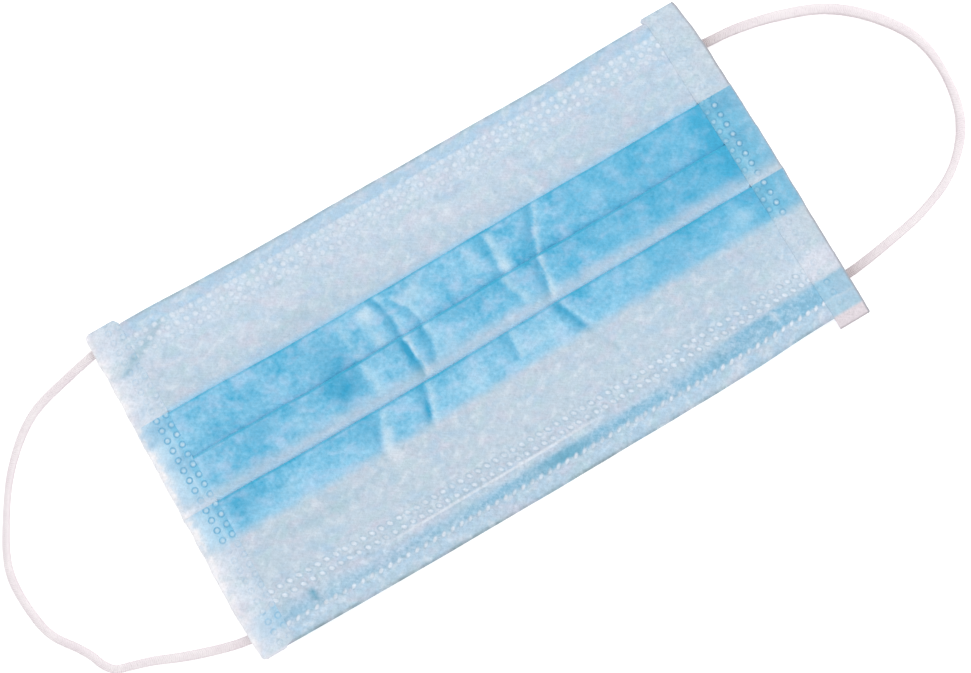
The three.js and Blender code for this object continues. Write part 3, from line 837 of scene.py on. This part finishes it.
def throughPoints(points, step):
    # centripetal Catmull-Rom curve through the points, resampled evenly
    knots = np.array(points, float)
    knots = np.vstack([2 * knots[0] - knots[1], knots, 2 * knots[-1] - knots[-2]])
    pieces = []
    for index in range(1, len(knots) - 2):
        corners = knots[index - 1:index + 3]
        gaps = np.linalg.norm(np.diff(corners, axis=0), axis=1) ** 0.5
        t0, t1, t2, t3 = np.concatenate([[0], np.cumsum(gaps)])
        t = np.linspace(t1, t2, 40, endpoint=False)[:, None]
        p0, p1, p2, p3 = corners
        a1 = (t1 - t) / (t1 - t0) * p0 + (t - t0) / (t1 - t0) * p1
        a2 = (t2 - t) / (t2 - t1) * p1 + (t - t1) / (t2 - t1) * p2
        a3 = (t3 - t) / (t3 - t2) * p2 + (t - t2) / (t3 - t2) * p3
        b1 = (t2 - t) / (t2 - t0) * a1 + (t - t0) / (t2 - t0) * a2
        b2 = (t3 - t) / (t3 - t1) * a2 + (t - t1) / (t3 - t1) * a3
        pieces.append((t2 - t) / (t2 - t1) * b1 + (t - t1) / (t2 - t1) * b2)
    fine = np.vstack([*pieces, knots[-2]])
    travelled = np.concatenate([[0], np.cumsum(np.linalg.norm(np.diff(fine, axis=0), axis=1))])
    places = np.linspace(0, travelled[-1], int(travelled[-1] / step) + 1)
    return np.stack([np.interp(places, travelled, values) for values in fine.T], 1), travelled[-1]


elasticFinish = {
    "clear": (255, 248, 250),
    "dull": (248, 237, 242),
    "between": (218, 203, 208),
    # edge and grey: painted shade along the loop's sides and where it nears the side strips
    "edge": (176, 160, 165),
    "grey": (168, 152, 154),
    "stitchesPerWay": 6.6,
    "stitchLean": 9.0,
}


def makeElastic():
    # Knitted elastic: two rows of slanting stitches, painted shade along its thin edges, and more painted
    # shade near the side strips
    look = elasticFinish
    material, tree, shader, plan, around, along = startMaterial("knittedElastic", 0.9, 0.2)
    flank = calc(tree, "ABSOLUTE", less(tree, calc(tree, "FRACT", times(tree, around, 2.0)), 0.5))
    leaning = plus(tree, times(tree, along, look["stitchesPerWay"]), times(tree, flank, look["stitchLean"]))
    stitch = calc(tree, "ABSOLUTE", calc(tree, "SINE", leaning))
    fuzz = span(tree, marks(tree, plan, (0, 0), 0, (0.12, 0.5), 3.0, 0.6), 0.3, 0.7)
    cloud = span(tree, marks(tree, plan, (7, 0), 0, (0.5, 7), 3.0), 0.3, 0.7)
    weave = plus(tree, times(tree, stitch, 0.6), times(tree, fuzz, 0.5))
    edged = times(tree, span(tree, flank, 0.2, 0.42, soft=True), fromMesh(tree, "edge"))
    greyed = times(tree, fromMesh(tree, "grey"), span(tree, weave, 0.2, 0.9, 1.0, 0.7))
    colour = blend(tree, cloud, look["clear"], look["dull"])
    colour = blend(tree, span(tree, weave, 0.15, 0.7, 0.3, 0.0), colour, look["between"])
    colour = blend(tree, edged, colour, look["edge"])
    colour = blend(tree, greyed, colour, look["grey"])
    finishMaterial(tree, shader, colour, weave, 0.00015)
    return material


elastic = makeElastic()


def makeLoop(side):
    # An oval tube: across the route its half width, up its half thickness, turning a little along it.
    # Its ends are pressed flat and lie under the strip.
    loop = loopSides[side]
    out, y = np.array(loop["route"], float).T
    line, length = throughPoints(np.stack([side * (mask["half"] + out), y], 1), loops["step"])
    rows, count = len(line), loops["around"]
    place = np.linspace(0, length, rows)
    fromEnd = np.minimum(place, length - place)
    press = 1 - smooth(fromEnd, loops["heldEnd"], loops["freeFrom"])
    ways, widths = np.array(loop["widths"]).T
    wide = np.interp(place, ways, widths) / 2 * (1 + 0.03 * waves(place, 0 * place, 9, 8 + side, 3))
    thick = loops["thick"] / 2 * (1 - 0.25 * press)
    twist = 0.12 * waves(place, 0 * place, 60, 4 + side, 2) * (1 - press)
    rise = np.hypot(wide * np.sin(twist), thick * np.cos(twist))
    centre = np.column_stack([line, rise + press * (loops["heldHeight"] - rise)])

    direction = np.gradient(line, axis=0)
    direction /= np.linalg.norm(direction, axis=1, keepdims=True)
    beside = np.stack([-direction[:, 1], direction[:, 0], np.zeros(rows)], 1)
    up = np.array([0, 0, 1.0])
    angle = np.linspace(0, 2 * np.pi, count, endpoint=False)
    ovalX, ovalZ = wide[:, None] * np.cos(angle), thick[:, None] * np.sin(angle)
    cosine, sine = np.cos(twist)[:, None], np.sin(twist)[:, None]
    turnX, turnZ = ovalX * cosine - ovalZ * sine, ovalX * sine + ovalZ * cosine
    rings = centre[:, None] + beside[:, None] * turnX[..., None] + up * turnZ[..., None]
    points = np.concatenate([rings.reshape(-1, 3), centre[:1], centre[-1:]])
    plan = np.stack(np.broadcast_arrays(angle / (2 * np.pi), place[:, None]), -1).reshape(-1, 2)
    plan = np.concatenate([plan, [[0.5, 0], [0.5, length]]])
    # painted shade near the strips, fading out along the loop
    grey = loop["grey"] * np.exp(-np.maximum(fromEnd - 8.5, 0) / 5)
    grey = np.concatenate([np.repeat(grey, count), grey[:1], grey[-1:]])
    piece = putMesh("elasticLoop_" + loop["name"], points, tubeFaces(rows, count), plan, [elastic],
                    grey=grey, edge=np.full(len(points), loop["edge"]))
    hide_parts("ear_loop_" + loop["name"])
    print(f"ear loop {loop['name']}: {length:.1f} mm long")
    return piece


loopLeft = makeLoop(-1)
loopRight = makeLoop(1)


def sheetLine():
    # The sheet's run in the y-z plane, from the chin hem's raw edge to the nose hem's raw edge. Each
    # sample is (pattern y, plies under it, 1 in a run and 0 in a fold). A straight run keeps its ply number
    # plus what lies under it; a fold is a half ellipse: y bulges by the sine, plies climb by the cosine.
    inset = mask["wall"] / 2 + mask["foldBulge"]
    samples = []

    def run(start, end, plies, step):
        count = max(int(np.ceil(abs(end - start) / runSteps[step])), 2)
        y = np.linspace(start, end, count + 1)
        samples.append(np.stack([y, plies(y), np.ones(len(y))], 1))

    def turn(edge, direction, base, climb):
        angle = np.linspace(0, np.pi, mask["foldPoints"] + 2)[1:-1]
        centre = edge - direction * inset
        y = centre + direction * mask["foldBulge"] * np.sin(angle)
        samples.append(np.stack([y, base(centre) + climb * (1 - np.cos(angle)) / 2, np.zeros(len(y))], 1))

    zero = lambda y: 0 * y
    chin, nose = mask["chinEdge"], mask["noseEdge"]
    y = chin - inset
    run(chin - mask["chinHem"], y, zero, "hem")
    turn(chin, 1, zero, mask["hemPlies"])
    for folded, (mountain, valley) in enumerate(zip(mask["mountains"], mask["valleys"])):
        front = lambda at, folded=folded: pliesUnder(at, folded)
        back = lambda at, folded=folded: pliesUnder(at, folded) + 1
        run(y, mountain - 1.0, front, "edge")
        run(mountain - 2.0, valley + inset, front, "face")
        turn(valley, -1, front, 1)
        y = mountain - inset
        run(valley + inset, y, back, "pleat")
        turn(mountain, 1, back, 1)
    last = lambda at: pliesUnder(at, 3)
    run(y, nose + inset, last, "edge")
    turn(nose, -1, last, -mask["hemPlies"])
    run(nose + inset, nose + mask["noseHem"], zero, "hem")
    return np.concatenate(samples)


def sheetColumns():
    # closer together where the creases cross, wider apart towards the sides
    creasedFrom, creasedTo = -39, 31
    left = np.linspace(-mask["sideEdge"], creasedFrom, 30)[:-1]
    middle = np.linspace(creasedFrom, creasedTo, 118)
    right = np.linspace(creasedTo, mask["sideEdge"], 34)[1:]
    return np.concatenate([left, middle, right])


def wireBump(x, y):
    # how far the wire raises the ply over it, with soft shoulders and short ends
    halfWidth = wire["width"] / 2
    across = 1 - smooth(np.abs(y - wire["middle"]), halfWidth - 0.1, halfWidth + 1.3)
    started = smooth(x, wire["start"] - 0.9, wire["start"] + 0.4)
    ended = smooth(x, wire["end"] - 0.4, wire["end"] + 0.9)
    return (wire["thickness"] + 2 * wire["slack"]) * across * started * (1 - ended)


def sheetPoint(x, y, plies, top):
    # a point of the sheet's centre: pattern place bowed, lift plus pitch times plies, plus the relief
    z = liftAt(x) + mask["wall"] / 2 + pitchAt(x) * plies + reliefAt(x, y) + top * wireBump(x, y)
    side = np.where(x < 0, -1, 1)
    edge = np.where(x < 0, edgeAt(-1, y), edgeAt(1, y)) - mask["inStrip"]
    fitted = x + side * smooth(np.abs(x), 64, mask["sideEdge"]) * (edge - mask["sideEdge"])
    wander = 0.1 * waves(x, y, 30, 9, 2)
    return np.stack([fitted, y + bowAt(x, y) + wander, z], -1)


def makeSheet():
    line = sheetLine()
    y, plies, straight = (values[:, None] for values in line.T)
    x = sheetColumns()[None, :]
    # the last visible run lies over the wire, the nose hem under it
    number = np.arange(len(line))[:, None]
    lastTurn = np.flatnonzero(straight == 0)[-mask["foldPoints"]]
    beforeLast = (straight > 0) & (number < lastTurn) & (y > mask["mountains"][-1] - 0.8)
    top = ((number > np.flatnonzero(beforeLast)[-1]) & (number < lastTurn)).astype(float)
    centre = sheetPoint(x, y, plies, top)
    points, faces, counts = shell(centre, mask["wall"])
    tone = np.broadcast_to(creaseFields(x, y)[1], centre.shape[:2]).ravel()
    plan = np.stack(np.broadcast_arrays(x, y), -1).reshape(-1, 2)
    slots = np.repeat([0, 1, 1], counts)
    piece = putMesh("foldedSheet", points, faces, np.concatenate([plan, plan]), [outerCloth, innerCloth],
                    slots, tone=np.concatenate([tone, tone]))
    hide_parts("pleated_body")
    return piece


foldedSheet = makeSheet()

strips = {
    "middle": 82.0,
    "leaf": 0.14,
    "rim": 0.03,
    "gap": 0.02,
    "climb": 0.75,  # run in which a strip climbs a fold
    "pressedClimb": 0.3,  # the same at its pressed inner edge
    "pressWidth": 0.9,
    "margin": 0.5,  # how far inside the sheet's edges its height is read
    "endRun": 1.3,  # run in which the leaves meet past the sheet
    "mostBulge": 0.75,
    "rows": 230,
    "midRow": 100,
    "leafPoints": 26,
    "foldPoints": 9,
}

# Columns of weld rings: distance from the middle of the mask, shift in pitches, strength. Pale and band are
# the colours across a strip, by the same distance, off and on the blue bands.
stripSides = {
    -1: {
        "name": "left",
        "chinEnd": 47.4,
        "noseEnd": -45.2,
        "corner": 1.2,
        "ragged": 0.2,
        "columns": ((78.5, 0.48, 1.0), (81.3, 0.56, 0.9)),
        "ringPitch": 2.83,
        "innerEdge": ((-45.2, 80.4), (-44.8, 80.3), (-44.2, 78.1), (-43.5, 77.75), (46, 77.75), (47.4, 78.8)),
        "pale": (
            (77.5, (200, 217, 232)), (79.5, (204, 219, 234)), (80.5, (212, 225, 239)), (83, (219, 230, 243)),
            (85.3, (235, 238, 247)), (86.2, (249, 247, 251))),
        "band": (
            (77.3, (158, 214, 241)), (78.0, (124, 200, 233)), (79.2, (132, 201, 233)),
            (80.1, (176, 220, 244)), (81.3, (158, 210, 238)), (82.5, (178, 219, 242)),
            (84.3, (198, 227, 246)), (85.4, (220, 234, 246)), (86.2, (248, 247, 250))),
        "ring": (84, 168, 210),
        "lowRings": 0.9,
        "paleRings": 0.15,
        "thin": 0.5,
        # the fold's rim is painted near white here, a painted highlight
        "rimShare": 0.5,
        "rimShading": (250, 248, 251),
        "tab": (228, 229, 238),
        "pocket": 0.38,
        "hem": 0.0,
        "blush": 0.0,
    },
    1: {
        "name": "right",
        "chinEnd": 47.2,
        "noseEnd": -47.45,
        "corner": 0.3,
        "ragged": 0.08,
        "columns": ((77.85, 0.76, 0.5), (80.35, 0.53, 1.0)),
        "ringPitch": 2.96,
        "innerEdge": ((-47.5, 77.1), (40, 76.95), (45, 76.8), (46.6, 75.8), (47.2, 76.6)),
        "pale": (
            (76, (197, 214, 227)), (79.5, (202, 218, 231)), (82, (196, 213, 227)), (85.4, (196, 211, 223)),
            (88, (200, 206, 214))),
        "band": (
            (76, (98, 184, 218)), (78.2, (110, 190, 222)), (79.1, (128, 199, 229)), (80.2, (102, 183, 217)),
            (82.5, (108, 187, 221)), (85, (120, 188, 220)), (88, (144, 188, 214))),
        "ring": (72, 158, 198),
        "lowRings": 0.4,
        "paleRings": 0.1,
        "thin": 0.35,
        # the fold's rim is painted grey here, painted shade
        "rimShare": 0.85,
        "rimShading": (162, 162, 170),
        "tab": (226, 217, 223),
        "pocket": 0.5,
        "hem": 0.33,
        "blush": 0.8,
    },
}

stripFinish = {
    "blush": (220, 223, 236),
    "thin": (200, 223, 244),
    # end: painted shade along the right strip's nose end edge
    "end": (168, 160, 166),
    "dot": (208, 230, 244),
    "ringRadius": 0.7,
}


def stripBlue(tree, x, softX, cloth, strip):
    # the colour of stacked plies seen through the strip, paler where its cloth lies thick
    blue = ramp(tree, softX, (75, 90), strip["band"])
    patches = span(tree, cloth["Patch"], 0.35, 1, 0.0, strip["thin"])
    blue = blend(tree, times(tree, patches, span(tree, x, 77, 82, 0.5, 1.0)), blue, stripFinish["thin"])
    return blend(tree, span(tree, cloth["Cloud"], 0.6, 0.1, 0.0, 0.45), blue, strip["ring"])


def addRings(tree, plan, x, y, shown, colour, strip):
    # worn weld rings, clearest where blue shows through the strip; returns the cloth with them, and the rings
    rows = [(x, column, shift, stripFinish["ringRadius"], 0.0, bright, bright)
            for column, shift, bright in strip["columns"]]
    dots, rings = weldsIn(tree, y, strip["ringPitch"], rows)
    worn = span(tree, marks(tree, plan, (2, 9), 0, (1.6, 1.6), roughness=0.6), 0.3, 0.62, 0.3, 1.5)
    seen = times(tree, span(tree, shown, 0.1, 1, strip["paleRings"], 0.9), worn)
    seen = times(tree, seen, span(tree, y, -43.2, -42.4), span(tree, y, -36.0, -34.5, strip["lowRings"], 1.0))
    colour = blend(tree, times(tree, rings, seen, clamp=True), colour, strip["ring"])
    return blend(tree, times(tree, dots, seen, 0.6, clamp=True), colour, stripFinish["dot"]), rings


def makeStripCloth(side):
    # x is the distance from the middle of the mask. Colours change across the strip; the blue bands and the
    # wire's pocket show through it.
    strip = stripSides[side]
    material, tree, shader, plan, x, y = startMaterial("whiteNonwoven_" + strip["name"], 0.86, 0.15)
    cloth = useGroup(tree, spunbond, Plan=plan, CloudSize=7.0, PatchSize=2.8, GrainSize=0.9)
    softY = plus(tree, y, span(tree, cloth["Patch"], 0, 1, -0.5, 0.5))
    softX = plus(tree, x, span(tree, cloth["Patch"], 0, 1, 0.5, -0.5))
    bands = useGroup(tree, pleatBands, Y=y, SoftY=softY)
    colour = ramp(tree, softX, (75, 90), strip["pale"])
    blush = times(tree, span(tree, y, -34.5, -33, soft=True), span(tree, y, -25, -28.5, soft=True))
    colour = blend(tree, times(tree, blush, strip["blush"]), colour, stripFinish["blush"])
    colour = useGroup(tree, paleMottle, Plan=plan, Base=colour, Strength=0.8)["Colour"]

    # what shows through: bands, pocket and hem
    above, below = span(tree, softY, -34.0, -35.2, soft=True), span(tree, softY, -40.3, -39.1, soft=True)
    pocket = times(tree, above, below, strip["pocket"])
    hem = span(tree, softY, -39.2, -40.4, 0.0, strip["hem"])
    shown = larger(tree, times(tree, bands["Band"], 0.95), larger(tree, pocket, hem))
    colour = blend(tree, shown, colour, stripBlue(tree, x, softX, cloth, strip))

    # the end past the nose hem with painted shade along its last edge, the fold's rim painted as shade
    # on the right strip and as highlight on the left, and the creases' painted shade and highlight
    tone = fromMesh(tree, "tone")
    rimmed = times(tree, fromMesh(tree, "rim"), strip["rimShare"])
    colour = blend(tree, span(tree, y, -43.6, -44.6, soft=True), colour, strip["tab"])
    colour = blend(tree, span(tree, y, -46.8, -47.3, 0.0, 0.6), colour, stripFinish["end"])
    colour = blend(tree, rimmed, colour, strip["rimShading"])
    # painted shade and highlight of creases and patches
    colour = blend(tree, times(tree, tone, -0.4, clamp=True), colour, outerFinish["shade"])
    colour = blend(tree, times(tree, tone, 0.5, clamp=True), colour, outerFinish["white"])

    colour, rings = addRings(tree, plan, x, y, shown, colour, strip)
    grain, fibre = span(tree, cloth["Grain"], 0, 1, 0.93, 1.06), span(tree, cloth["Fibre"], 0, 1, 0.9, 1.1)
    height = less(tree, times(tree, cloth["Height"], 0.6), times(tree, rings, 0.3))
    finishMaterial(tree, shader, scaled(tree, colour, times(tree, grain, fibre)), height, 0.0002)
    return material


def topPlies(y, climbRun):
    # plies under the sheet's visible face; a strip cannot jump up a fold, it climbs within climbRun before it
    plies = pliesUnder(y, 0)
    run = 2 * mask["pitch"] * mask["fallRun"]
    for mountain, valley in zip(mask["mountains"], mask["valleys"]):
        climb = 1 - smooth(y, mountain + 0.12, mountain + 0.12 + climbRun)
        plies = plies + 2 * climb * smooth(y, valley - run, valley)
    return plies


def stripEdges(side, y):
    # inner edge, and outer edge with rounded corners
    strip = stripSides[side]
    toEnd = np.minimum(strip["chinEnd"] - y, y - strip["noseEnd"])
    corner = strip["corner"]
    cut = np.clip(corner - toEnd, 0, corner)
    rounding = corner - np.sqrt(np.maximum(corner**2 - cut**2, 0))
    ragged = strip["ragged"] * waves(y, y * 0, 6, 21, 3)
    inner = np.interp(y, *np.array(strip["innerEdge"]).T) + 0.06 * waves(y, y * 0, 7, 33, 2)
    return inner, edgeAt(side, y) - rounding + ragged


def stripSection(side, y, pattern):
    # Distance from the mask's middle, height and wall of a strip's middle surface. Its section runs along the
    # upper leaf from the inner edge out, round a half ellipse, and back along the lower leaf. The upper leaf
    # lies on the sheet's face, the lower one under its back, both pressed thin at their inner edge.
    middle = side * strips["middle"]
    margin = strips["margin"]
    chinHere, noseHere = (edge + bowAt(middle, edge) for edge in (mask["chinEdge"], mask["noseEdge"]))
    inside = np.clip(y, noseHere + margin, chinHere - margin)
    past = np.maximum(np.maximum(y - (chinHere - 0.4), (noseHere + 0.4) - y), 0)
    fade = 1 - smooth(past, 0, strips["endRun"])
    onSheet = np.clip(pattern, mask["noseEdge"] + margin, mask["chinEdge"] - margin)
    plies, pressedPlies = (topPlies(onSheet, strips[climb]) for climb in ("climb", "pressedClimb"))

    inner, outer = stripEdges(side, y)
    endHeight = mask["wall"] + mask["sidePitch"] * plies * fade
    bulge = np.minimum(endHeight / 2 + strips["leaf"] / 2 + strips["gap"], strips["mostBulge"])
    leaf = np.linspace(0, 1, strips["leafPoints"]) ** 1.3
    upperX = inner + (outer - bulge - inner) * leaf
    relief = reliefAt(side * upperX, inside)
    press = 1 - smooth(upperX - inner, 0, strips["pressWidth"])
    wall = strips["leaf"] - (strips["leaf"] - strips["rim"]) * press
    offset = wall / 2 + strips["gap"] * (1 - 0.7 * press)
    ground = mask["lift"] + reliefAt(middle, inside) - strips["gap"]
    face = mask["lift"] + relief + mask["wall"] + pitchAt(upperX) * (plies + (pressedPlies - plies) * press)
    topZ = ground + (face - ground) * fade + offset
    lowZ = (mask["lift"] + relief - strips["gap"] - offset)[:, ::-1]

    angle = np.linspace(0, np.pi, strips["foldPoints"] + 2)[1:-1]
    middleZ, halfZ = (topZ[:, -1:] + lowZ[:, :1]) / 2, (topZ[:, -1:] - lowZ[:, :1]) / 2
    x = np.concatenate([upperX, outer - bulge + bulge * np.sin(angle), upperX[:, ::-1]], 1)
    z = np.concatenate([topZ, middleZ + halfZ * np.cos(angle), lowZ], 1)
    z = z + 0.04 * waves(x, np.broadcast_to(y, x.shape), 6, 41 + side, 2)
    walls = np.concatenate([wall, np.full((len(y), strips["foldPoints"]), strips["leaf"]), wall[:, ::-1]], 1)
    return x, z, walls, outer


def makeStrip(side):
    # a strip folded round the side edge, its section swept from chin end to nose end
    strip = stripSides[side]
    y = np.linspace(strip["chinEnd"], strip["noseEnd"], strips["rows"])[:, None]
    pattern = y - bowAt(side * strips["middle"], y)
    x, z, walls, outer = stripSection(side, y, pattern)
    centre = np.stack([side * x, np.broadcast_to(y, x.shape), z], -1)
    tone = creaseFields(side * x, pattern)[1]
    rim = smooth(outer - x, 0.65, 0.2)

    # the pattern's x is the distance from the middle on the upper leaf, then the way along the section
    midRow = strips["midRow"]
    walked = np.concatenate([[0], np.cumsum(np.hypot(np.diff(x[midRow]), np.diff(z[midRow])))])
    onUpper = np.arange(x.shape[1]) < strips["leafPoints"]
    plan = np.stack([np.where(onUpper, x, x[midRow, 0] + walked), np.broadcast_to(pattern, x.shape)], -1)
    if side < 0:
        centre, walls, tone, rim, plan = (values[::-1] for values in (centre, walls, tone, rim, plan))
    points, faces = shell(centre, walls)[:2]
    plan = plan.reshape(-1, 2)
    piece = putMesh("sideStrip_" + strip["name"], points, faces, np.concatenate([plan, plan]),
                    [makeStripCloth(side)], tone=np.tile(tone.ravel(), 2), rim=np.tile(rim.ravel(), 2))
    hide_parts("binding_" + strip["name"])
    print(f"side strip {strip['name']}: {walked[-1]:.1f} mm wide before folding, {len(faces) * 2} triangles")
    return piece


stripLeft = makeStrip(-1)
stripRight = makeStrip(1)


def makeWirePlastic():
    material, tree, shader, plan = startMaterial("wirePlastic", 0.45)[:4]
    streak = marks(tree, plan, (0, 0), 0, (0.15, 3), 3.0)
    finishMaterial(tree, shader, blend(tree, streak, (236, 240, 243), (224, 230, 235)), streak, 0.0001)
    return material


def makeWire():
    # a rounded flat section swept along x inside the nose hem, at the sheet's own height
    x = np.linspace(wire["start"], wire["end"], 160)[:, None]
    angle = np.linspace(0, 2 * np.pi, 24, endpoint=False)[None, :]
    squash = lambda value: np.sign(value) * np.abs(value) ** wire["squareness"]
    fromEnd = np.minimum(x - wire["start"], wire["end"] - x)
    ends = np.sqrt(np.clip(1 - (1 - np.clip(fromEnd / wire["roundEnd"], 0, 1)) ** 2, 0.02, 1))
    y = wire["middle"] + wire["width"] / 2 * squash(np.cos(angle)) * ends
    ground = liftAt(x) + reliefAt(x, np.full_like(x, wire["middle"])) + mask["wall"] + wire["slack"]
    z = ground + wire["thickness"] / 2 * (1 + squash(np.sin(angle)) * ends)
    points = np.stack(np.broadcast_arrays(x, y + bowAt(x, y), z), -1)
    plan = np.stack(np.broadcast_arrays(x, y), -1).reshape(-1, 2)
    plan = np.concatenate([plan, [[wire["start"], wire["middle"]], [wire["end"], wire["middle"]]]])
    points = np.concatenate([points.reshape(-1, 3), points[[0, -1]].mean(1)])
    piece = putMesh("noseWire", points, tubeFaces(*y.shape)[:, ::-1], plan, [makeWirePlastic()])
    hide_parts("nose_wire")
    return piece


noseWire = makeWire()
print("nose wire made")

# these lengths are in metres
studio = {
    "world": 0.84,
    "key": 2.6,
    "keyPlace": (0.6, 0.12, 0.86),
    "keySize": 0.6,
    "floor": (252, 252, 252),
    "floorGlow": 0.35,
    "floorHalf": 3.0,
    "floorHeight": -0.0001,
}


def makeFloor():
    material = bpy.data.materials.new("floorPaper")
    material.use_nodes = True
    shader = material.node_tree.nodes["Principled BSDF"]
    shader.inputs["Base Color"].default_value = paint(studio["floor"])
    shader.inputs["Emission Color"].default_value = (1, 1, 1, 1)
    shader.inputs["Emission Strength"].default_value = studio["floorGlow"]
    shader.inputs["Roughness"].default_value = 0.95
    shader.inputs["Specular IOR Level"].default_value = 0.1
    half, height = studio["floorHalf"], studio["floorHeight"]
    corners = [(-half, -half, height), (half, -half, height), (half, half, height), (-half, half, height)]
    mesh = bpy.data.meshes.new("floor")
    mesh.from_pydata(corners, [], [(0, 1, 2, 3)])
    mesh.materials.append(material)
    floor = bpy.data.objects.new("floor", mesh)
    bpy.context.scene.collection.objects.link(floor)


def makeLight():
    key = bpy.data.lights.new("key", "AREA")
    key.shape = "DISK"
    key.size = studio["keySize"]
    key.energy = studio["key"]
    lamp = bpy.data.objects.new("key", key)
    place = Vector(studio["keyPlace"])
    lamp.matrix_world = Matrix.Translation(place) @ place.to_track_quat("Z", "Y").to_matrix().to_4x4()
    bpy.context.scene.collection.objects.link(lamp)

    world = bpy.data.worlds.new("studio")
    world.use_nodes = True
    background = world.node_tree.nodes["Background"]
    background.inputs["Color"].default_value = (1, 1, 1, 1)
    background.inputs["Strength"].default_value = studio["world"]
    bpy.context.scene.world = world
    bpy.context.scene.view_settings.view_transform = "Standard"


makeFloor()
makeLight()
print("studio lit")
